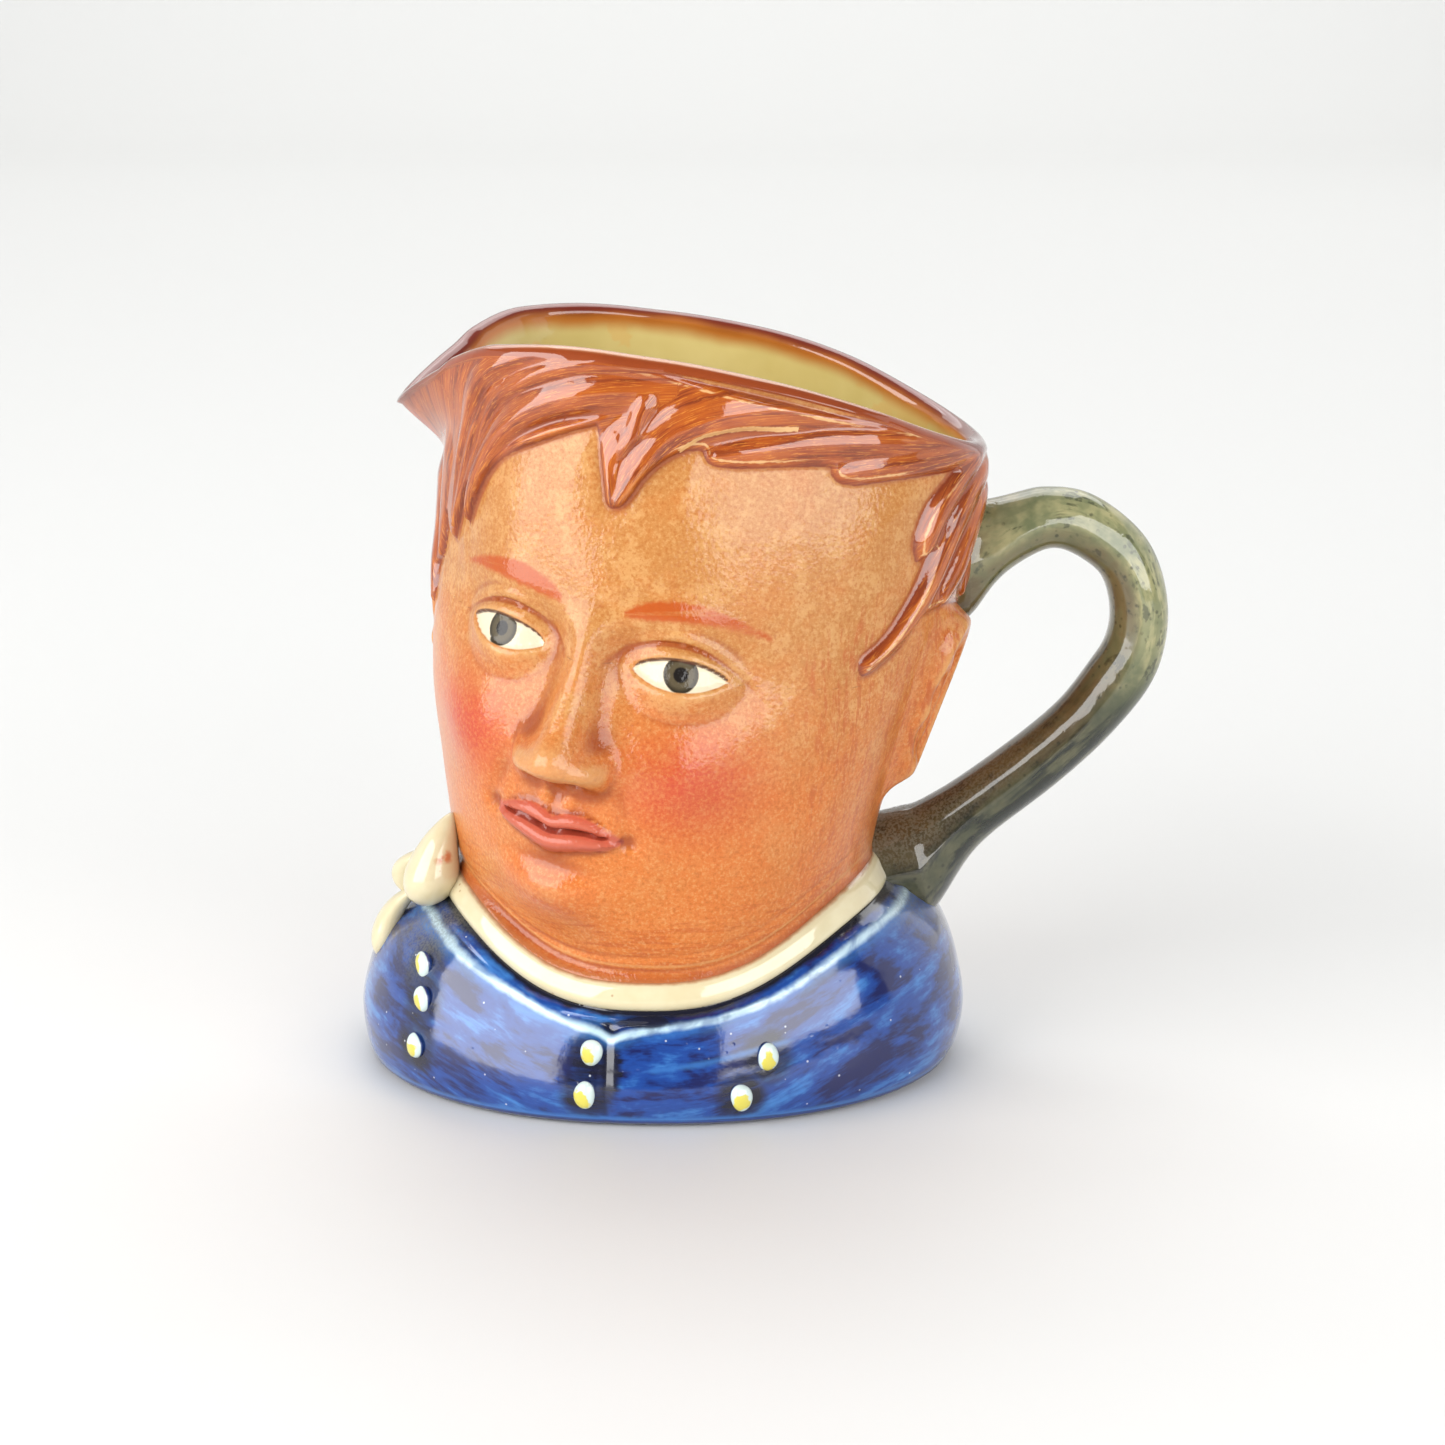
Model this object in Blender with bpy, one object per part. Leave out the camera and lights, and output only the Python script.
"""A character jug of glazed earthenware, cast in one piece.

A man's head on coat shoulders, hollow and open at the top, with a pouring
lip over one temple, a knotted kerchief and a loop handle behind one ear.
Front is -Y, the lip points to -X and the handle to +X. Metres, +Z up.
"""
import math

import bmesh
import bpy
import numpy as np
from mathutils import Vector

# Driving dimensions, in metres
JUG_HEIGHT = 0.1105
WALL = 0.0035
FLOOR = 0.0045
FLOOR_FILLET = 0.006
FOOT_WIDTH = 0.0055
FOOT_RECESS = 0.0012
BASE_EDGE = 0.0016
HANDLE_THICKNESS = 0.0086
HANDLE_WIDTH = 0.0102
BAR_SIDES = 14
HANDLE_RIDGE = 0.06
ROOT_REACH = 0.03
BUTTON_WIDTH = 0.0033
BUTTON_TALLNESS = 1.22
BUTTON_HEIGHT = 0.0011
KNOT_DIAMETER = 0.0080

# The free form is drawn in hundredths of the jug's height
HUNDREDTH = JUG_HEIGHT / 100

# Half widths of the coat and of the head, at a share of their height:
# share, towards the lip, towards the handle, front, back
COAT_PROFILE = [
    (0.00, 39.9, 38.6, 32.9, 32.0),
    (0.10, 41.2, 40.4, 34.3, 33.5),
    (0.28, 41.7, 41.1, 34.9, 34.3),
    (0.52, 40.4, 40.1, 34.2, 33.6),
    (0.74, 37.6, 38.0, 33.2, 31.5),
    (0.90, 33.2, 34.0, 32.2, 29.0),
    (1.00, 30.2, 30.4, 31.6, 27.6),
]
HEAD_PROFILE = [
    (0.00, 28.8, 28.4, 31.2, 26.0),
    (0.10, 29.4, 29.5, 33.2, 28.5),
    (0.22, 30.2, 31.8, 34.6, 31.0),
    (0.40, 31.2, 35.5, 34.8, 33.4),
    (0.58, 30.8, 39.3, 34.0, 33.6),
    (0.74, 29.7, 41.2, 32.5, 32.6),
    (0.88, 29.2, 42.5, 31.0, 31.4),
    (1.00, 29.8, 42.9, 30.4, 30.4),
]
RING_POWER = 2.15
# Height of the rim over the width of the head
RIM_PROFILE = [
    (-36.5, 88.8), (-34.4, 91.2), (-31.2, 93.9), (-29, 95.5), (-27, 97.2), (-21, 99.5), (-13, 100.0),
    (0, 98.7), (14, 95.9), (26, 92.2), (36, 87.8), (44, 84.0),
]
# How much lower it is behind, and where that drop grows and ends, in depth and in width
RIM_BACK_DROP = 1.2
RIM_DROP_DEPTH = (0, 24)
RIM_DROP_RISE = (-32, -8)
RIM_DROP_FALL = (-6, 28)
# Pouring lip: azimuth, reach, spread, and the share of the head's height where it starts
LIP_AZIMUTH = -90
LIP_REACH = 5.4
LIP_SPREAD = 16
LIP_START = 0.87

# Kerchief band round the neck
BAND_AZIMUTH = -5
BAND_FRONT = 17.0
BAND_RISE = 9.6
BAND_SPREAD = 42.7
BAND_POWER = 2.8
BAND_HALF_WIDTH = 1.85
BAND_ROLL = 1.0
BAND_ROLL_POWER = 0.55
# The band is flatter under the handle: azimuth, spread, share of its roll that is lost
BAND_FLAT_AZIMUTH = 86
BAND_FLAT_SPREAD = 26
BAND_FLAT_SHARE = 0.6

# The face looks a little towards the lip and leans towards the handle
FACE_AZIMUTH = -18
FACE_LEAN = 10
FACE_MIDDLE = 55
FACE_RADIUS = 36
EYE_OUT = 12.6
EYE_LEVEL = 7.0
EYE_HALF_WIDTH = 6.1
LID_RISE = 2.1
LID_FALL = 1.7
NOSE_PROFILE = [
    (-10.0, 0.0), (-8.8, 1.0), (-7.6, 4.6), (-6.0, 6.9), (-4.5, 7.0), (-1.0, 5.6),
    (4.0, 3.2), (9.0, 1.7), (14.0, 0.0),
]
NOSE_HALF_WIDTH = [(-10, 4.4), (-5, 4.0), (0, 3.1), (7, 2.5), (14, 3.6)]
MOUTH_LEVEL = -14.8
MOUTH_HALF_WIDTH = 9.5
CHIN_LEVEL = -24.0

# Ears: azimuth, height of the middle, size
EARS = [(74.5, 51.2), (-113, 55.9)]
EAR_HALF_WIDTH = 5.2
EAR_HALF_HEIGHT = 12.0
EAR_DEPTH = 2.9
EAR_SQUARENESS = 2.5

# Height of the lower edge of the hair at the sides and behind, from azimuth to azimuth
HAIR_EDGE = [
    (-180, 38), (-140, 40), (-124, 60), (-112, 68), (-96, 66), (-80, 68), (-68, 75),
    (-60, 108), (74, 108), (79, 64), (84, 61.5), (92, 56), (104, 44), (120, 40), (180, 38),
]
# Outline of the fringe and of the hair before the ear, in smooth runs that meet at corners
FRINGE = [
    [(-70, 108), (-70, 78)],
    [(-70, 78), (-66, 75.4), (-62.6, 74.0), (-60, 73.5)],
    [(-60, 73.5), (-58.2, 75.7), (-54.6, 79.4), (-52.9, 81.2)],
    [(-52.9, 81.2), (-52.8, 78.6), (-52.3, 75.8)],
    [(-52.3, 75.8), (-49.2, 79.0), (-43.6, 83.6), (-38.2, 85.9), (-32, 87.3), (-20.2, 89.6), (-14.4, 90.4)],
    [(-14.4, 90.4), (-13.4, 87.0), (-12.3, 82.6), (-11.1, 80.5), (-9.6, 80.4), (-4.2, 83.5),
     (1.5, 86.3), (5.8, 87.3), (10.2, 87.4)],
    [(10.2, 87.4), (11, 86.1), (14, 85.4), (24, 85.1), (34.5, 85.0), (38.2, 84.8)],
    [(38.2, 84.8), (38.9, 83.4), (41, 82.6), (47, 82.3), (55, 82.4), (68.2, 82.3)],
    [(68.2, 82.3), (64.2, 80.5), (61.2, 79.0), (58.8, 76.6), (57.3, 73.4), (58.3, 71.5), (61.9, 72.6)],
    [(61.9, 72.6), (58.8, 68.6), (53.8, 64.4), (47.6, 60.9), (44.2, 59.3), (44.8, 58.0), (49, 58.2),
     (56, 60.7), (61, 64.1)],
    [(61, 64.1), (70, 64.4), (78, 63.6), (86, 61)],
    [(86, 61), (86, 108)],
]
HAIR_THICKNESS = 0.95
HAIR_SINK = 0.35
# Strands of the fringe: width, height, then azimuth and height from root to tip
STRANDS = [
    (4.4, 0.7, (-26, 98.8), (-40, 97.2), (-49, 93.6), (-54.5, 88.5), (-58, 83.0), (-60.4, 76.0)),
    (3.8, 0.8, (4, 98.0), (-14, 98.2), (-25, 97.4), (-33, 96.0), (-40, 94.4), (-45, 92.0), (-49, 88.8),
     (-52.5, 85.0), (-56.3, 80.0), (-59.4, 75.4)),
    (5.6, 1.1, (2, 94.9), (-12, 94.6), (-22, 93.6), (-30, 92.0), (-37, 89.8), (-42.5, 87.0),
     (-47, 83.6), (-50.4, 79.8), (-52.0, 77.0)),
    (2.8, 0.6, (-8, 91.8), (-20, 90.4), (-27.5, 89.2), (-34, 88.1), (-40, 86.0), (-45, 83.0), (-48.6, 80.3)),
    (3.6, 0.65, (-0.5, 94.6), (-3.2, 92.8), (-4.8, 90.9), (-6.4, 88.9), (-8.8, 86.9)),
    (4.6, 0.5, (-7, 90.0), (-10.8, 87.2), (-11.4, 84.0), (-10.8, 80.9)),
    (6.8, 0.95, (48, 91.4), (28, 92.6), (12, 91.8), (1, 88.9), (-5, 84.9), (-9.6, 80.9)),
    (3.8, 0.6, (66, 86.0), (42, 87.6), (26, 87.5), (12.5, 86.8)),
    (3.6, 0.5, (86, 84.4), (64, 84.4), (50, 84.2), (40.5, 84.0)),
    (4.8, 0.9, (88, 84.6), (77, 82.8), (69, 80.2), (63.6, 77.0), (60.6, 73.8), (59.4, 72.2)),
    (5.0, 1.1, (96, 82.6), (86, 81.6), (77, 79.6), (70.5, 76.2), (66.0, 72.2), (60.8, 67.4),
     (54.0, 62.9), (45.6, 59.0)),
    (5.6, 1.0, (98, 79.5), (87, 77.5), (79.5, 73.6), (74, 69.0), (67, 65.2)),
    (5.8, 1.0, (104, 76.0), (94, 73.0), (87.5, 69.0), (81, 64.4)),
]
# Broader locks that hang down the side of the head behind the pouring lip
HANGING_LOCKS = [
    (7.4, 0.5, (-66, 88.0), (-70, 82.0), (-71, 76.0), (-70, 70.0)),
    (7.8, 0.8, (-80, 84.0), (-83, 78.0), (-82, 71.0), (-77, 63.0)),
    (7.8, 1.1, (-92, 82.0), (-95, 76.0), (-92, 69.0), (-86, 62.0)),
    (8.0, 1.2, (-106, 92.0), (-109, 82.0), (-104, 74.0), (-97, 67.0)),
]
# Furrows between strands: depth, half width, then the course
FURROWS = [
    (0.50, 0.70, (-19, 99.0), (-33, 96.9), (-43, 94.5), (-48, 92.2), (-52, 88.8)),
    (0.60, 0.65, (-28, 97.1), (-36.2, 95.5), (-42.5, 93.2), (-46.8, 90.5), (-49.2, 87.7), (-52.5, 84.5),
     (-55, 81.4), (-57.8, 78.0)),
    (0.65, 0.80, (-8, 92.4), (-20.8, 91.3), (-27.2, 90.4), (-32.8, 89.0), (-37.2, 87.5), (-41.5, 85.2),
     (-46, 81.8)),
    (0.35, 1.20, (-5.8, 93.0), (-9.5, 91.6), (-12.4, 89.8), (-11.8, 88.0), (-9.2, 86.6)),
    (0.50, 0.60, (82, 82.6), (73.5, 80.4), (67.6, 77.0), (64.0, 73.6)),
    (0.45, 0.60, (90, 79.6), (80.5, 76.8), (73.6, 72.4), (68, 68.2), (62.4, 65.2)),
]
# Folds, whose left side stands proud of its right: height, reach, then the course
FOLDS = [
    (0.95, 2.6, (2.5, 86.6), (7.8, 88.7), (11.2, 89.5), (16, 90.0), (20.8, 90.2), (26.2, 90.0), (36, 89.8)),
    (0.55, 1.6, (-8.8, 86.6), (-6.2, 88.3), (-3.6, 89.2), (1.0, 90.0)),
]
FOLD_SOFTNESS = 0.6
# Locks that hang down the back, in two rows
BACK_LOCKS_FROM, BACK_LOCKS_TO = 100, 238
BACK_LOCKS_EACH_ROW = 9
BACK_LOCK_WIDTH = 12.5
BACK_LOCK_HEIGHT = 1.5
BACK_LOCK_SWAY = 4.0
BACK_UPPER_TIP = 55
BACK_LOWER_TOP = 74
BACK_LOWER_TIP = 39
DEGREE = 0.66

# Coat: a narrow roll under the kerchief, then the raised edge of the collar
COLLAR_ROLL_DROP = 1.0
COLLAR_ROLL_HEIGHT = 0.4
COLLAR_ROLL_WIDTH = 0.55
COLLAR_EDGE = [
    (-180, 21.5), (-120, 22.2), (-90, 22.9), (-72, 22.9), (-60, 21.7), (-50.7, 19.9), (-41.4, 18.0),
    (-34, 16.5), (-26.3, 14.9), (-19.3, 13.7), (-14.0, 13.0), (-11.0, 12.1), (-8.6, 12.6), (-3.8, 13.2),
    (2, 13.75), (9.8, 14.35), (16.7, 15.25), (23.7, 16.4), (30.4, 17.9), (35.6, 19.3), (42.8, 20.9),
    (52.7, 22.5), (62, 23.3), (90, 23.8), (120, 23.0), (180, 21.5),
]
COLLAR_EDGE_HEIGHT = 0.6
COLLAR_FADE = 3.6
CLOSURE_AZIMUTH = -12
# Buttons: azimuth and height
BUTTONS = [(-58, 17.4), (-55, 13.5), (-54.5, 7.4), (-15, 10.2), (-16, 4.8), (22.8, 9.4), (16.8, 4.4)]

# Handle, from the upper root to the lower one: x, z, direction its outer side faces
# in degrees above the horizontal, share of the thickness, share of the width
HANDLE_PATH = [
    (40.6, 67.6, 92, 2.02, 1.20), (43.0, 68.6, 86, 1.76, 1.14), (46.9, 71.2, 76, 1.46, 1.06),
    (51.0, 73.0, 80, 1.10, 0.98), (55.2, 72.7, 67, 1.03, 0.96), (59.6, 70.0, 50, 0.99, 0.97),
    (62.4, 66.5, 28, 0.97, 0.98), (63.8, 61.2, 9, 0.98, 1.00), (63.4, 56.2, -7, 1.02, 1.00),
    (61.7, 52.2, -24, 1.08, 1.00), (58.9, 48.2, -38, 1.05, 1.00), (55.1, 43.9, -46, 1.03, 1.00),
    (48.9, 38.5, -50, 1.06, 1.02), (42.7, 33.7, -53, 1.09, 1.06), (39.0, 30.5, -60, 1.26, 1.16),
    (36.5, 27.7, -68, 1.60, 1.30), (34.6, 25.7, -76, 1.96, 1.44),
]
HANDLE_BACK = 1.0

# Kerchief knot, its hind lobe and its hanging tail: azimuth, height, radius, share of the diameter
KNOT = [
    (-69, 35.6, 30.2, 0.30), (-69, 32.8, 31.6, 0.62), (-69, 29.8, 32.6, 0.92), (-69, 27.0, 33.2, 1.06),
    (-69.5, 24.6, 33.6, 0.85), (-70, 23.0, 33.8, 0.45),
]
KNOT_LOBE = [
    (-74, 30.2, 32.2, 0.40), (-78, 28.2, 33.8, 0.62), (-80, 25.8, 34.7, 0.66), (-79, 23.2, 34.8, 0.42),
]
KNOT_TAIL = [
    (-75, 25.0, 34.2, 0.42), (-79, 22.2, 36.4, 0.56), (-81, 19.2, 38.0, 0.64), (-81, 16.6, 38.8, 0.60),
    (-81, 14.2, 39.4, 0.32),
]
KNOT_FLATNESS = 0.95
LOBE_FLATNESS = 1.15
TAIL_FLATNESS = 0.75

# Fineness of the drawn surface, and the triangles left once flat stretches are thinned
COLUMNS = 288
COAT_ROWS = 14
BAND_ROWS = 6
HEAD_ROWS = 96
INSIDE_ROWS = 14
HANDLE_ROWS = 34
KNOT_ROWS = 11
TRIANGLES = 7200
# How much closer the columns stand over the face, in degrees
FACE_CROWDING = 28


def curve_through(points, at):
    """Smooth curve through (position, value) points that never overshoots them."""
    points = np.array(points, float)
    x, y = points[:, 0], points[:, 1]
    step = np.diff(x)
    rise = np.diff(y) / step
    slope = np.concatenate([rise[:1], np.zeros(len(x) - 2), rise[-1:]])
    for i in range(1, len(x) - 1):
        if rise[i - 1] * rise[i] > 0:
            near = 2 * step[i] + step[i - 1]
            far = step[i] + 2 * step[i - 1]
            slope[i] = (near + far) / (near / rise[i - 1] + far / rise[i])
    at = np.clip(at, x[0], x[-1])
    i = np.clip(np.searchsorted(x, at) - 1, 0, len(x) - 2)
    t = (at - x[i]) / step[i]
    return (
        (1 + 2 * t) * (1 - t) ** 2 * y[i]
        + t * (1 - t) ** 2 * step[i] * slope[i]
        + t * t * (3 - 2 * t) * y[i + 1]
        + t * t * (t - 1) * step[i] * slope[i + 1]
    )


def natural_curve(places, table, at):
    """Curve of even curvature through the rows of a table that stand at the given places."""
    table = np.array(table, float)
    count = len(table)
    step = np.diff(places)
    bend = np.eye(count)
    pull = np.zeros_like(table)
    for i in range(1, count - 1):
        bend[i, i - 1 : i + 2] = step[i - 1], 2 * (step[i - 1] + step[i]), step[i]
        pull[i] = 6 * ((table[i + 1] - table[i]) / step[i] - (table[i] - table[i - 1]) / step[i - 1])
    curve = np.linalg.solve(bend, pull)
    i = np.clip(np.searchsorted(places, at) - 1, 0, count - 2)
    width = step[i][:, None]
    late = (at - places[i])[:, None] / width
    early = 1 - late
    sag = (early**3 - early) * curve[i] + (late**3 - late) * curve[i + 1]
    return early * table[i] + late * table[i + 1] + sag * width**2 / 6


def along(table, steps):
    """Smooth values through each column of a table, at even steps along its rows."""
    places = np.arange(len(table), dtype=float)
    return natural_curve(places, table, np.linspace(0, len(table) - 1, steps)).T


def ease(start, end, at):
    t = np.clip((at - start) / (end - start), 0, 1)
    return t * t * (3 - 2 * t)


def turn_from(azimuth, middle):
    """Signed angle from the middle azimuth, in degrees from -180 to 180."""
    return (azimuth - middle + 180) % 360 - 180


def hill(across, up, width, height):
    return np.exp(-((across / width) ** 2) - (up / height) ** 2)


def ring_radius(azimuth, profile, share):
    """Distance from the axis to an oval ring whose four half widths follow a profile."""
    table = np.array(profile)
    left, right, front, back = (curve_through(table[:, [0, k]], share) for k in (1, 2, 3, 4))
    side = np.sin(np.radians(azimuth))
    depth = -np.cos(np.radians(azimuth))
    half_side = np.where(side < 0, left, right)
    half_depth = np.where(depth < 0, front, back)
    total = np.abs(side / half_side) ** RING_POWER + np.abs(depth / half_depth) ** RING_POWER
    return total ** (-1 / RING_POWER)


def head_radius(azimuth, share):
    """The head, with the lip drawn out of its upper edge."""
    away = np.sqrt(turn_from(azimuth, LIP_AZIMUTH) ** 2 + 36) - 6
    lip = LIP_REACH * np.exp(-away / LIP_SPREAD) * ease(LIP_START, 0.995, share)
    return ring_radius(azimuth, HEAD_PROFILE, share) + lip


def rim_level(azimuth):
    radius = head_radius(azimuth, np.ones_like(azimuth))
    x = radius * np.sin(np.radians(azimuth))
    y = -radius * np.cos(np.radians(azimuth))
    behind = ease(*RIM_DROP_DEPTH, y) * ease(*RIM_DROP_RISE, x) * (1 - ease(*RIM_DROP_FALL, x))
    return curve_through(RIM_PROFILE, x) - RIM_BACK_DROP * behind


def band_edges(azimuth):
    """Lower and upper height of the kerchief band."""
    turn = np.abs(turn_from(azimuth, BAND_AZIMUTH))
    middle = BAND_FRONT + BAND_RISE * (1 - np.exp(-((turn / BAND_SPREAD) ** BAND_POWER)))
    return middle - BAND_HALF_WIDTH, middle + BAND_HALF_WIDTH


def smooth_radius(azimuth, z):
    """The jug without any relief, at a height in hundredths."""
    low, high = band_edges(azimuth)
    coat = ring_radius(azimuth, COAT_PROFILE, z / low)
    head = head_radius(azimuth, np.clip((z - high) / (rim_level(azimuth) - high), 0, 1))
    across = np.clip((z - low) / (high - low), 0, 1)
    ends = ring_radius(azimuth, COAT_PROFILE, 1), ring_radius(azimuth, HEAD_PROFILE, 0)
    band = ends[0] * (1 - across) + ends[1] * across
    return np.where(z < low, coat, np.where(z < high, band, head))


def band_relief(azimuth, z):
    low, high = band_edges(azimuth)
    across = np.clip((z - low) / (high - low), 0, 1)
    flat = 1 - BAND_FLAT_SHARE * hill(turn_from(azimuth, BAND_FLAT_AZIMUTH), 0, BAND_FLAT_SPREAD, 1)
    return BAND_ROLL * flat * np.sin(math.pi * across) ** BAND_ROLL_POWER


def face_place(azimuth, z):
    """Across and up on the face, measured from its middle along its own leaning axis."""
    turn = np.radians(np.clip(turn_from(azimuth, FACE_AZIMUTH), -90, 90))
    across = FACE_RADIUS * np.sin(turn)
    lean = math.radians(FACE_LEAN)
    rise = z - FACE_MIDDLE
    return (
        across * math.cos(lean) - rise * math.sin(lean),
        across * math.sin(lean) + rise * math.cos(lean),
    )


def eye_relief(side, up):
    """An eyeball between its lids, set in a shallow socket. Side grows away from the nose."""
    socket = -2.0 * hill(side, up - 1.6, 8.8, 5.6) - 1.2 * hill(side + 6.0, up - 0.8, 3.6, 4.2)
    ball = 2.7 * np.clip(1 - (side / 8.2) ** 2 - (up / 5.9) ** 2, 0, 1) ** 1.3
    arch = np.clip(1 - (side / EYE_HALF_WIDTH) ** 2, 0, 1) ** 0.8
    open_part = ease(-0.3, 0.3, LID_RISE * arch - up) * ease(-0.3, 0.3, up + LID_FALL * arch)
    crease = 3.9 - 0.05 * (side + 0.8) ** 2 - up
    fold = -0.55 * hill(crease, 0, 0.55, 1) + 0.35 * hill(crease + 1.2, 0, 0.9, 1)
    return socket + ball - 0.5 * open_part * (arch > 0) + fold * hill(side, 0, 6.5, 1)


def nose_relief(across, up):
    height = np.maximum(curve_through(NOSE_PROFILE, up), 0)
    half = curve_through(NOSE_HALF_WIDTH, up)
    bridge = height * np.exp(-((np.abs(across) / half) ** 2.4))
    tip = 1.0 * hill(across, up + 5.0, 3.2, 2.6)
    wings = 2.8 * hill(np.abs(across) - 4.7, up + 6.2, 2.3, 2.3)
    nostrils = -1.3 * hill(np.abs(across) - 2.4, up + 8.1, 1.2, 0.7)
    return bridge + tip + wings + nostrils


def mouth_relief(across, up):
    """Two closed, level lips on a soft swelling."""
    side = np.abs(across)
    share = np.clip(1 - (side / MOUTH_HALF_WIDTH) ** 2, 0, 1)
    parting = 0.3 * hill(side - 4.5, 0, 2.6, 1) - 0.3 * hill(side, 0, 1.8, 1)
    over = (up - parting) / (0.05 + 2.5 * share - 0.5 * hill(side, 0, 1.3, 1))
    under = (parting - up) / (0.05 + 3.1 * share**0.8)
    upper = 1.0 * share**0.5 * np.sin(math.pi * np.clip(over, 0, 1)) ** 0.8
    lower = 1.4 * share**0.5 * np.sin(math.pi * np.clip(under, 0, 1)) ** 0.8
    line = -0.6 * share**0.3 * hill(0, up - parting, 1, 0.45)
    corners = -0.7 * hill(side - MOUTH_HALF_WIDTH - 0.3, up, 1.5, 1.4)
    swelling = 1.9 * hill(across, up, 11.0, 7.0)
    hollow = -0.9 * hill(across, up + 5.2, 6.0, 1.8)
    philtrum = 0.3 * hill(side - 1.7, up - 4.4, 0.9, 1.6) - 0.3 * hill(side, up - 4.4, 1.0, 1.8)
    return swelling + upper + lower + line + corners + hollow + philtrum


def face_relief(azimuth, z):
    across, up = face_place(azimuth, z)
    side = np.abs(across)
    out = side - EYE_OUT
    relief = eye_relief(out, up - EYE_LEVEL)
    relief += 1.0 * hill(out + 0.8, up - EYE_LEVEL - 6.6 + 0.022 * out**2, 8.5, 2.3)
    relief += nose_relief(across, up)
    relief += 1.9 * hill(side - 14.5, up + 6.0, 8.0, 7.5)
    relief -= 0.6 * hill(side - 25, up - 11, 6.0, 7.0)
    relief -= 0.45 * hill(side - 8.2 - 0.35 * (-9 - up), up + 11.0, 1.6, 3.6)
    relief += mouth_relief(across, up - MOUTH_LEVEL)
    relief += 2.5 * hill(across, up - CHIN_LEVEL, 7.5, 4.0)
    relief -= 1.3 * hill(across, up - CHIN_LEVEL + 8.0, 16.0, 3.6)
    in_front = np.cos(np.radians(turn_from(azimuth, FACE_AZIMUTH)))
    return relief * ease(0.05, 0.45, in_front)


def ear_relief(azimuth, z):
    """A rolled rim and an inner fold round a hollow, ending in a lobe, on both sides."""
    relief = np.zeros_like(z)
    for middle, level in EARS:
        forward = np.sign(turn_from(FACE_AZIMUTH, middle))
        up = z - level
        across = turn_from(azimuth, middle) * DEGREE * forward + 0.18 * up
        half = EAR_HALF_WIDTH * (1 + 0.28 * np.clip(up / EAR_HALF_HEIGHT, -1, 0.6))
        reach = np.abs(across / half) ** EAR_SQUARENESS + np.abs(up / EAR_HALF_HEIGHT) ** EAR_SQUARENESS
        reach = reach ** (1 / EAR_SQUARENESS)
        # the side towards the face runs softly into the cheek
        soft = ease(0, 0.9, across / half)
        body = ease(1.16 + 0.35 * soft, 0.84 - 0.24 * soft, reach)
        behind = 1 - 0.75 * ease(0.1, 0.8, across / half) * ease(6.0, -2.0, up)
        rim = hill(reach - 0.80, 0, 0.22, 1) * behind
        fold = hill(reach - 0.40, 0, 0.17, 1) * ease(0.55, -0.3, across / half)
        lobe = hill(across - 0.4, up + 0.78 * EAR_HALF_HEIGHT, 0.5 * half, 2.6)
        tragus = hill(across - 0.72 * half, up + 1.2, 1.0, 1.8)
        shape = 0.42 + 0.58 * np.maximum(rim, lobe) + 0.32 * fold + 0.3 * tragus
        relief = np.maximum(relief, EAR_DEPTH * body * shape)
    return relief


def lock_course(points, steps=14):
    """Points along a smooth line through the lock's own points, in hundredths."""
    course = along(points, steps)
    return np.stack([course[0] * DEGREE, course[1]], 1)


def near_course(azimuth, z, course):
    """Distance from a course, the share along it there, and the signed distance across it."""
    middle = course[:, 0].mean() / DEGREE
    here = np.stack([(middle + turn_from(azimuth, middle)) * DEGREE, z], -1)
    best = np.full(z.shape, np.inf)
    share = np.zeros(z.shape)
    across = np.zeros(z.shape)
    for i in range(len(course) - 1):
        leg = course[i + 1] - course[i]
        off = here - course[i]
        t = np.clip((off @ leg) / (leg @ leg), 0, 1)
        away = np.linalg.norm(off - t[..., None] * leg, axis=-1)
        side = (leg[0] * off[..., 1] - leg[1] * off[..., 0]) / np.linalg.norm(leg)
        nearer = away < best
        best = np.where(nearer, away, best)
        share = np.where(nearer, (i + t) / (len(course) - 1), share)
        across = np.where(nearer, side, across)
    return best, share, across


def fringe_outline():
    """The corners of the fringe's outline, each run drawn as a smooth line."""
    corners = []
    for run in FRINGE:
        points = np.array(run, float) * (DEGREE, 1)
        places = np.concatenate([[0], np.cumsum(np.linalg.norm(np.diff(points, axis=0), axis=1))])
        steps = np.linspace(0, places[-1], 3 * len(run) - 4, endpoint=False)
        corners.append(natural_curve(places, points, steps))
    return np.concatenate(corners)


def inside_outline(azimuth, z, corners):
    """Distance inside a closed outline, negative outside it."""
    x = turn_from(azimuth, 0) * DEGREE
    nearest = np.full(z.shape, np.inf)
    inside = np.zeros(z.shape, bool)
    for start, end in zip(corners, np.roll(corners, -1, 0)):
        leg = end - start
        t = np.clip(((x - start[0]) * leg[0] + (z - start[1]) * leg[1]) / (leg @ leg), 0, 1)
        nearest = np.minimum(nearest, np.hypot(x - start[0] - t * leg[0], z - start[1] - t * leg[1]))
        if leg[1]:
            crosses = (z > min(start[1], end[1])) & (z <= max(start[1], end[1]))
            inside ^= crosses & (x < start[0] + (z - start[1]) / leg[1] * leg[0])
    return np.where(inside, nearest, -nearest)


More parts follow.
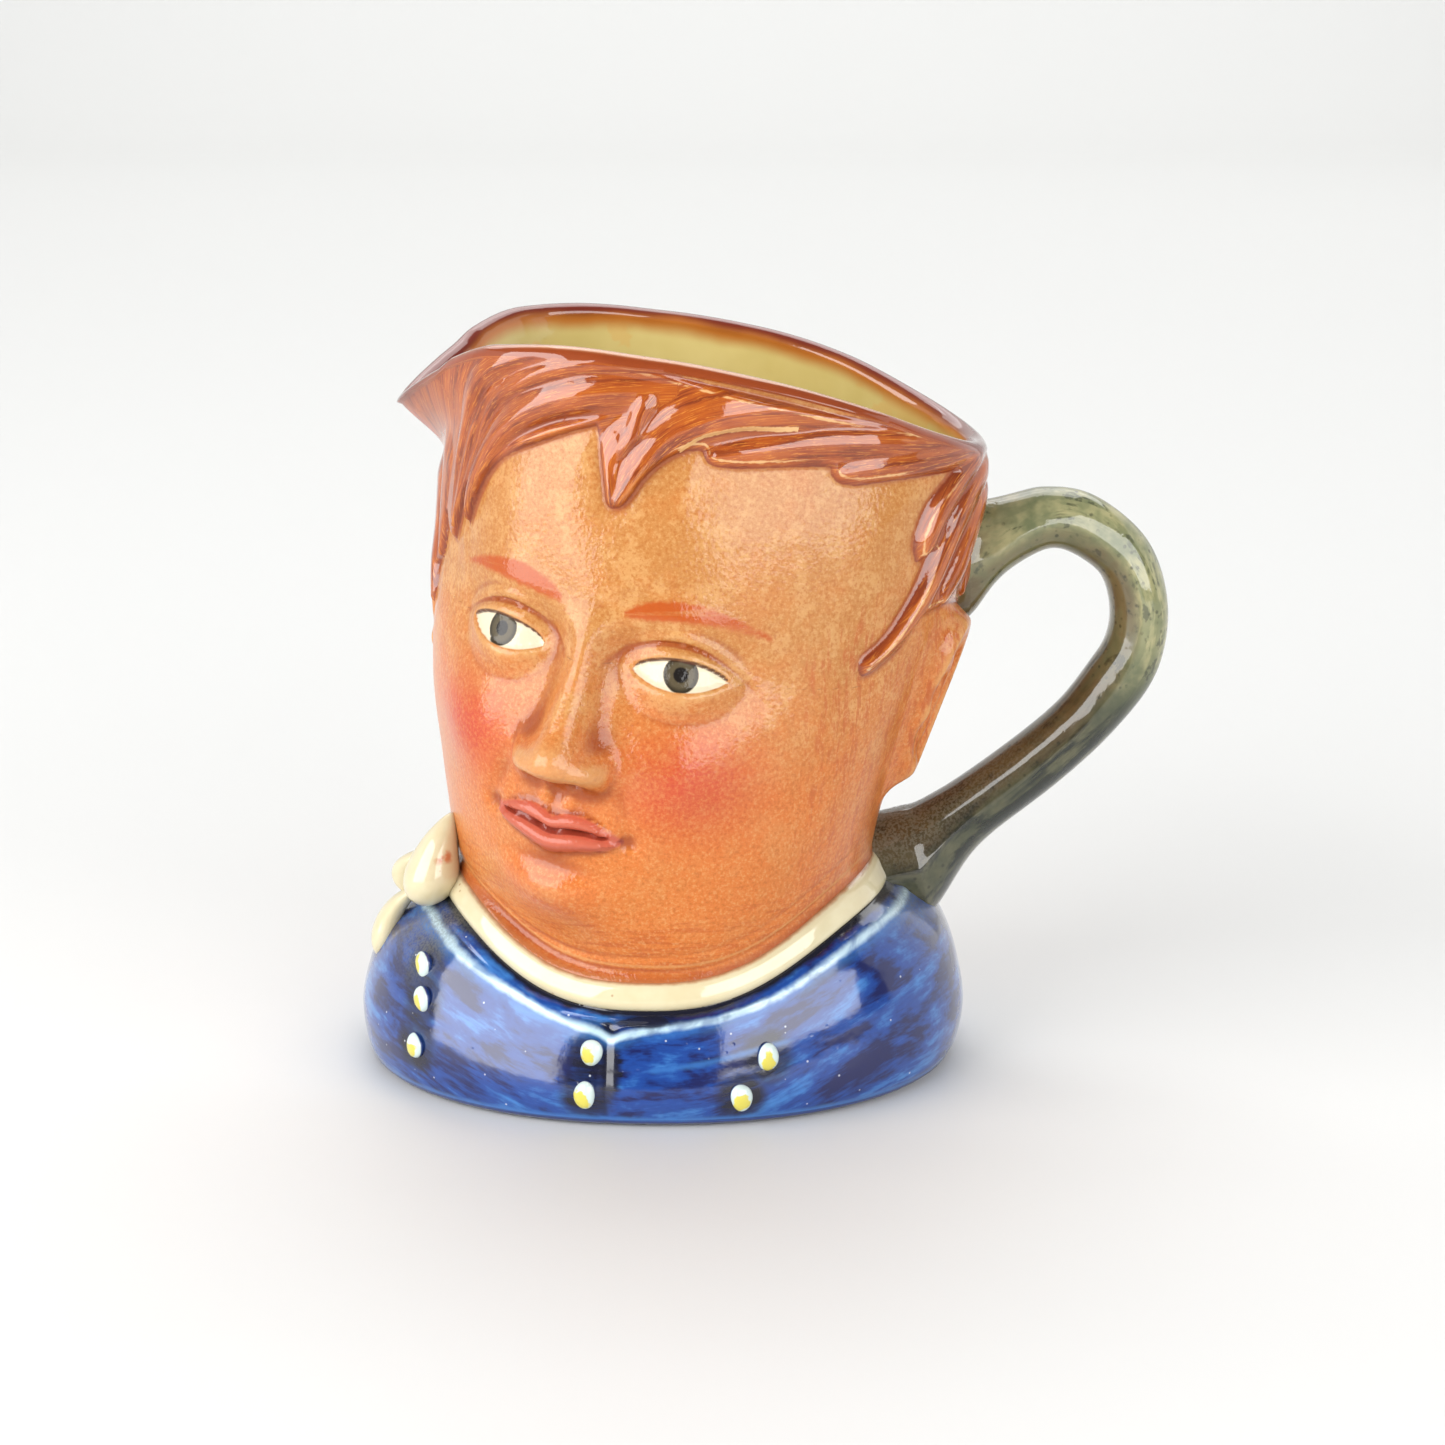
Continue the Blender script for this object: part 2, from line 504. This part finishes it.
def back_locks():
    """Two rows of wavy locks down the back of the head, the lower row between the upper ones."""
    step = (BACK_LOCKS_TO - BACK_LOCKS_FROM) / (BACK_LOCKS_EACH_ROW - 0.5)
    locks = []
    for k in range(2 * BACK_LOCKS_EACH_ROW):
        lower = k >= BACK_LOCKS_EACH_ROW
        middle = BACK_LOCKS_FROM + step * (k % BACK_LOCKS_EACH_ROW + 0.5 * lower)
        sway = BACK_LOCK_SWAY * math.cos(2.4 * k)
        top = BACK_LOWER_TOP if lower else float(rim_level(np.array([middle]))[0]) - 1.5
        tip = (BACK_LOWER_TIP if lower else BACK_UPPER_TIP) + 2 * math.sin(1.7 * k)
        heights = [top + (tip - top) * share for share in (0, 0.35, 0.7, 1)]
        turns = (middle - 2, middle + sway, middle - sway, middle + 4)
        locks.append((BACK_LOCK_WIDTH, BACK_LOCK_HEIGHT, *zip(turns, heights)))
    return locks


def hair_relief(azimuth, z):
    """How far the hair's carving stands out, and how far inside the hair a point is."""
    edge = curve_through(HAIR_EDGE, turn_from(azimuth, 0))
    inside = np.maximum(z - edge, inside_outline(azimuth, z, fringe_outline()))
    carving = np.zeros_like(z)
    hanging = HANGING_LOCKS + back_locks()
    for number, (width, height, *points) in enumerate(STRANDS + hanging):
        free = number >= len(STRANDS)
        best, share, across = near_course(azimuth, z, lock_course(points))
        tip = (1 - share**2.4) ** 0.8 if free else np.sqrt(1 - share**6)
        half = width / 2 * (0.35 + 0.65 * ease(0, 0.2, share)) * tip + 0.05
        rounded = np.clip(1 - (best / half) ** 2, 0, 1) ** (1.0 if free else 1.3)
        own = height * rounded * ease(0, 0.25, share) * (0.55 + 0.45 * ease(1.0, 0.7, share))
        carving += own**3
        if free:
            lock_edge = (half - best) * ease(0.0, 0.12, share)
            inside = np.maximum(inside, np.where(own > 0, lock_edge, -9.0))
    carving = np.cbrt(carving)
    for depth, half, *points in FURROWS:
        best, share, across = near_course(azimuth, z, lock_course(points))
        carving -= depth * hill(best, 0, half, 1) * ease(0, 0.2, share) * ease(1.0, 0.75, share)
    for height, reach, *points in FOLDS:
        best, share, across = near_course(azimuth, z, lock_course(points))
        step = np.clip(across / FOLD_SOFTNESS, -1, 1)
        step = 0.5 * height * step * (1.5 - 0.5 * step**2) * np.exp(-best / reach)
        carving += step * ease(0, 0.2, share) * ease(1.0, 0.6, share)
    return carving, inside


def coat_relief(azimuth, z):
    """A thin roll under the kerchief, then the collar, open at the front closure."""
    drop = band_edges(azimuth)[0] - z
    turn = turn_from(azimuth, CLOSURE_AZIMUTH)
    over_edge = z - curve_through(COLLAR_EDGE, turn_from(azimuth, 0))
    roll = COLLAR_ROLL_HEIGHT * hill(0, drop - COLLAR_ROLL_DROP, 1, COLLAR_ROLL_WIDTH)
    collar = COLLAR_EDGE_HEIGHT * np.exp(-np.clip(-over_edge, 0, None) / COLLAR_FADE)
    collar = collar * ease(0.9, -0.5, over_edge)
    groove = -0.5 * hill(turn, 0, 1.5, 1) * ease(0.5, 2.0, drop) * ease(0, 2.5, z)
    return (roll + collar + groove) * ease(0, 0.6, drop) * ease(0, 2.0, z)


def outer_radius(azimuth, z):
    """The whole outer surface at a height, carving included, in hundredths."""
    low, high = band_edges(azimuth)
    carving, in_hair = hair_relief(azimuth, z)
    covered = ease(-0.5, 0.9, in_hair)
    recess = HAIR_THICKNESS * np.exp(-np.clip(-in_hair, 0, None) / 7)
    skin = face_relief(azimuth, z) + ear_relief(azimuth, z) - recess
    head = skin * (1 - covered) + covered * (0.35 * np.maximum(skin, 0) - HAIR_SINK + carving)
    head = head * ease(0, 1.5, z - high) * ease(0, 3.0, rim_level(azimuth) - z)
    below = np.where(z < low, coat_relief(azimuth, z), band_relief(azimuth, z))
    return smooth_radius(azimuth, z) + np.where(z < high, below, head)


def ring(azimuth, radius, z):
    """One ring of points in metres, from radii and heights in metres."""
    turn = np.radians(azimuth)
    return np.stack([radius * np.sin(turn), -radius * np.cos(turn), z + 0 * radius], -1)


def outside_rings(azimuth):
    """From the underside's middle, over the foot and up the outside to the lip."""
    base = smooth_radius(azimuth, np.zeros_like(azimuth)) * HUNDREDTH
    foot = base - BASE_EDGE
    inner_foot = foot - FOOT_WIDTH
    rings = [ring(azimuth, inner_foot * 0.45, FOOT_RECESS)]
    rings.append(ring(azimuth, inner_foot - 2 * FOOT_RECESS, FOOT_RECESS))
    rings.append(ring(azimuth, inner_foot, 0))
    rings.append(ring(azimuth, foot, 0))
    low, high = band_edges(azimuth)
    top = rim_level(azimuth)
    bend = WALL / HUNDREDTH / 2
    start = BASE_EDGE / HUNDREDTH
    levels = [start + (low - start) * k / COAT_ROWS for k in range(COAT_ROWS)]
    levels += [low + (high - low) * k / BAND_ROWS for k in range(BAND_ROWS)]
    levels += [high + (top - bend - high) * k / HEAD_ROWS for k in range(HEAD_ROWS + 1)]
    joint = outer_radius(azimuth, levels[0]) * HUNDREDTH
    half_way = math.sin(math.pi / 4)
    rings.append(ring(azimuth, foot + (joint - foot) * half_way, BASE_EDGE * (1 - half_way)))
    rings += [ring(azimuth, outer_radius(azimuth, z) * HUNDREDTH, z * HUNDREDTH) for z in levels]
    return rings


def lip_rings(azimuth):
    """The rounded rim, from its outer side over to its inner side."""
    top = rim_level(azimuth) * HUNDREDTH
    half = WALL / 2
    middle = smooth_radius(azimuth, top / HUNDREDTH) * HUNDREDTH - half
    turns = np.radians([30, 60, 90, 120, 150])
    return [ring(azimuth, middle + half * math.cos(t), top - half + half * math.sin(t)) for t in turns]


def cavity_radius(azimuth, z):
    """The inside of the wall, a wall's thickness in from the smooth outside, in metres."""
    step = 0.5
    above = smooth_radius(azimuth, z + step)
    below = smooth_radius(azimuth, z - step)
    slope = (above - below) / (2 * step)
    slant = np.minimum(np.sqrt(1 + slope**2), 1.7)
    return smooth_radius(azimuth, z) * HUNDREDTH - WALL * slant


def inside_rings(azimuth):
    """From the rim down the inside to the floor, with a rounded corner there."""
    top = rim_level(azimuth) * HUNDREDTH - WALL / 2
    floor = FOOT_RECESS + FLOOR
    rings = []
    for k in range(INSIDE_ROWS + 1):
        z = top + (floor + FLOOR_FILLET - top) * k / INSIDE_ROWS
        flat = ease(0, 3, k)
        level = z / HUNDREDTH
        straight = smooth_radius(azimuth, level) * HUNDREDTH - WALL
        rings.append(ring(azimuth, straight + (cavity_radius(azimuth, level) - straight) * flat, z))
    corner = cavity_radius(azimuth, (floor + FLOOR_FILLET) / HUNDREDTH)
    for degrees in (30, 60, 90):
        t = math.radians(degrees)
        inward = FLOOR_FILLET * (1 - math.cos(t))
        rings.append(ring(azimuth, corner - inward, floor + FLOOR_FILLET * (1 - math.sin(t))))
    rings.append(ring(azimuth, (corner - FLOOR_FILLET) * 0.5, floor))
    return rings


def mesh_object(name, rings, ends):
    """A closed object from rings of equal length, closed by a fan at each end point."""
    made = bmesh.new()
    rows = [[made.verts.new(point) for point in points] for points in rings]
    count = len(rows[0])
    for lower, upper in zip(rows, rows[1:]):
        for k in range(count):
            made.faces.new((lower[k], lower[(k + 1) % count], upper[(k + 1) % count], upper[k]))
    first, last = (made.verts.new(point) for point in ends)
    for k in range(count):
        made.faces.new((rows[0][(k + 1) % count], rows[0][k], first))
        made.faces.new((rows[-1][k], rows[-1][(k + 1) % count], last))
    bmesh.ops.recalc_face_normals(made, faces=made.faces)
    mesh = bpy.data.meshes.new(name)
    made.to_mesh(mesh)
    made.free()
    mesh.shade_smooth()
    mesh.set_sharp_from_angle(angle=math.radians(50))
    made_object = bpy.data.objects.new(name, mesh)
    bpy.context.scene.collection.objects.link(made_object)
    return made_object


def make_body():
    """The hollow vessel with the head and coat carved on its outside."""
    azimuth = column_azimuths()
    rings = outside_rings(azimuth) + lip_rings(azimuth) + inside_rings(azimuth)
    ends = (0, 0, FOOT_RECESS), (0, 0, FOOT_RECESS + FLOOR)
    body = mesh_object("jug", rings, ends)
    triangles = 2 * len(body.data.polygons)
    thin = body.modifiers.new("thin flat stretches", "DECIMATE")
    thin.ratio = TRIANGLES / triangles
    return body


def column_azimuths():
    """Azimuths round the jug, closer together over the face and its hair."""
    even = np.linspace(-180, 180, COLUMNS, endpoint=False)
    return FACE_AZIMUTH + even - FACE_CROWDING * np.sin(np.radians(even))


def on_wall(azimuth, z, outward):
    """A point outward of the smooth wall, all in metres but the azimuth."""
    around = np.array([float(azimuth)])
    radius = outer_radius(around, np.array([z / HUNDREDTH])) * HUNDREDTH + outward
    return ring(around, radius, z)[0]


def wall_middle(point):
    """The point at the middle of the wall that lies in the same direction and height."""
    azimuth = np.array([math.degrees(math.atan2(point[0], -point[1]))])
    radius = smooth_radius(azimuth, np.array([point[2] / HUNDREDTH])) * HUNDREDTH
    return ring(azimuth, radius - WALL / 2, point[2])[0]


def is_in_wall(point):
    middle = wall_middle(point)
    return math.hypot(point[0], point[1]) <= math.hypot(middle[0], middle[1])


def outside_cavity(point):
    """The point, moved out to the middle of the wall where it would lie further in."""
    return wall_middle(point) if is_in_wall(point) else np.array(point)


def run_to_wall(point, course):
    """The point, moved along a course as far as the middle of the wall."""
    near, far = 0.0, ROOT_REACH
    for _ in range(12):
        half_way = (near + far) / 2
        if is_in_wall(point + course * half_way):
            far = half_way
        else:
            near = half_way
    return point + course * far


def swept(middles, outwards, sides, heights, widths, ridge=0.0):
    """Rings of a bar along middle points, its section drawn outward and sideways."""
    rings = []
    for middle, outward, side, height, width in zip(middles, outwards, sides, heights, widths):
        section = []
        for k in range(BAR_SIDES):
            turn = 2 * math.pi * k / BAR_SIDES
            raised = 1 + ridge * max(0.0, math.cos(turn)) ** 4
            across = math.copysign(abs(math.sin(turn)) ** 0.9, math.sin(turn))
            point = middle + outward * height * raised * math.cos(turn) + side * width * across
            section.append(outside_cavity(point))
        rings.append(section)
    return rings


def capped(name, rings):
    """A closed object from rings, with the middle of each end ring as its end point."""
    return mesh_object(name, rings, [outside_cavity(np.mean(rings[end], axis=0)) for end in (0, -1)])


def make_handle():
    """A loop along its path, with both ends run on into the wall."""
    x, z, facing, thick, wide = along(HANDLE_PATH, HANDLE_ROWS)
    middles = np.stack([x, 0 * x + HANDLE_BACK, z], -1) * HUNDREDTH
    facing = np.radians(facing)
    outwards = np.stack([np.cos(facing), 0 * x, np.sin(facing)], -1)
    sides = np.tile([0.0, 1.0, 0.0], (len(x), 1))
    heights, widths = HANDLE_THICKNESS / 2 * thick, HANDLE_WIDTH / 2 * wide
    rings = swept(middles, outwards, sides, heights, widths, HANDLE_RIDGE)
    to_head = np.cross(outwards[0], sides[0])
    to_coat = np.cross(sides[-1], outwards[-1])
    upper = [run_to_wall(point, to_head) for point in rings[0]]
    lower = [run_to_wall(point, to_coat) for point in rings[-1]]
    ends = [wall_middle(np.mean(points, axis=0)) for points in (upper, lower)]
    return mesh_object("handle", [upper] + rings + [lower], ends)


def dome(name, middle, outward, radii, segments=10, layers=5):
    """An ellipsoid with its poles along a level outward direction: radii across, up and outward."""
    outward = Vector(outward).normalized()
    side = Vector((0, 0, 1)).cross(outward)
    across = outward.cross(side)
    rings = []
    for layer in range(1, layers):
        tilt = math.pi * layer / layers
        points = []
        for k in range(segments):
            turn = 2 * math.pi * k / segments
            flat = (side * math.cos(turn) * radii[0] + across * math.sin(turn) * radii[1]) * math.sin(tilt)
            points.append(outside_cavity(Vector(middle) + flat + outward * radii[2] * math.cos(tilt)))
        rings.append(points)
    ends = Vector(middle) + outward * radii[2], outside_cavity(Vector(middle) - outward * radii[2])
    return mesh_object(name, rings, ends)


def outward_at(azimuth):
    return np.array([math.sin(math.radians(azimuth)), -math.cos(math.radians(azimuth)), 0.0])


def make_buttons():
    buttons = []
    for k, (azimuth, z) in enumerate(BUTTONS):
        middle = on_wall(azimuth, z * HUNDREDTH, 0)
        half = BUTTON_WIDTH / 2
        name = f"button_{k + 1}"
        buttons.append(dome(name, middle, outward_at(azimuth), (half, half * BUTTON_TALLNESS, BUTTON_HEIGHT)))
    return buttons


def make_knot():
    """The kerchief's knot, a small lobe behind it and its flat hanging tail."""
    pieces = []
    for name, table, flatness in (
        ("knot", KNOT, KNOT_FLATNESS),
        ("knot_lobe", KNOT_LOBE, LOBE_FLATNESS),
        ("knot_tail", KNOT_TAIL, TAIL_FLATNESS),
    ):
        azimuths, levels, radii, sizes = along(table, KNOT_ROWS)
        sizes = sizes * np.sqrt(1 - np.linspace(-0.97, 0.97, KNOT_ROWS) ** 6)
        middles = [
            outward_at(azimuth) * radius * HUNDREDTH + np.array([0, 0, level * HUNDREDTH])
            for azimuth, level, radius in zip(azimuths, levels, radii)
        ]
        outwards = [outward_at(azimuth) for azimuth in azimuths]
        sides = [np.cross(outward, [0, 0, 1]) for outward in outwards]
        widths = KNOT_DIAMETER / 2 * sizes
        pieces.append(capped(name, swept(middles, outwards, sides, widths * flatness, widths)))
    return pieces


def fuse(body, extra):
    """Joins another shape into the body and keeps it only as a guide."""
    extra.hide_render = True
    extra.display_type = "WIRE"
    extra.parent = body
    join = body.modifiers.new(extra.name, "BOOLEAN")
    join.operation = "UNION"
    join.solver = "EXACT"
    join.object = extra


def glaze(name, colour, roughness):
    material = bpy.data.materials.new(name)
    material.use_nodes = True
    shader = material.node_tree.nodes["Principled BSDF"]
    shader.inputs["Base Color"].default_value = (*colour, 1)
    shader.inputs["Roughness"].default_value = roughness
    material.diffuse_color = (*colour, 1)
    return material


def stand_on_origin(body):
    """Moves the jug so that the origin is on the table, below the middle of the whole."""
    bpy.context.view_layer.update()
    graph = bpy.context.evaluated_depsgraph_get()
    corners = [Vector(corner) for corner in body.evaluated_get(graph).bound_box]
    body.location.x = -(min(c.x for c in corners) + max(c.x for c in corners)) / 2
    body.location.y = -(min(c.y for c in corners) + max(c.y for c in corners)) / 2


def main():
    for old in list(bpy.data.objects):
        bpy.data.objects.remove(old)
    body = make_body()
    body.data.materials.append(glaze("glazed earthenware", (0.62, 0.33, 0.16), 0.12))
    for extra in [make_handle()] + make_knot() + make_buttons():
        fuse(body, extra)
    stand_on_origin(body)


main()
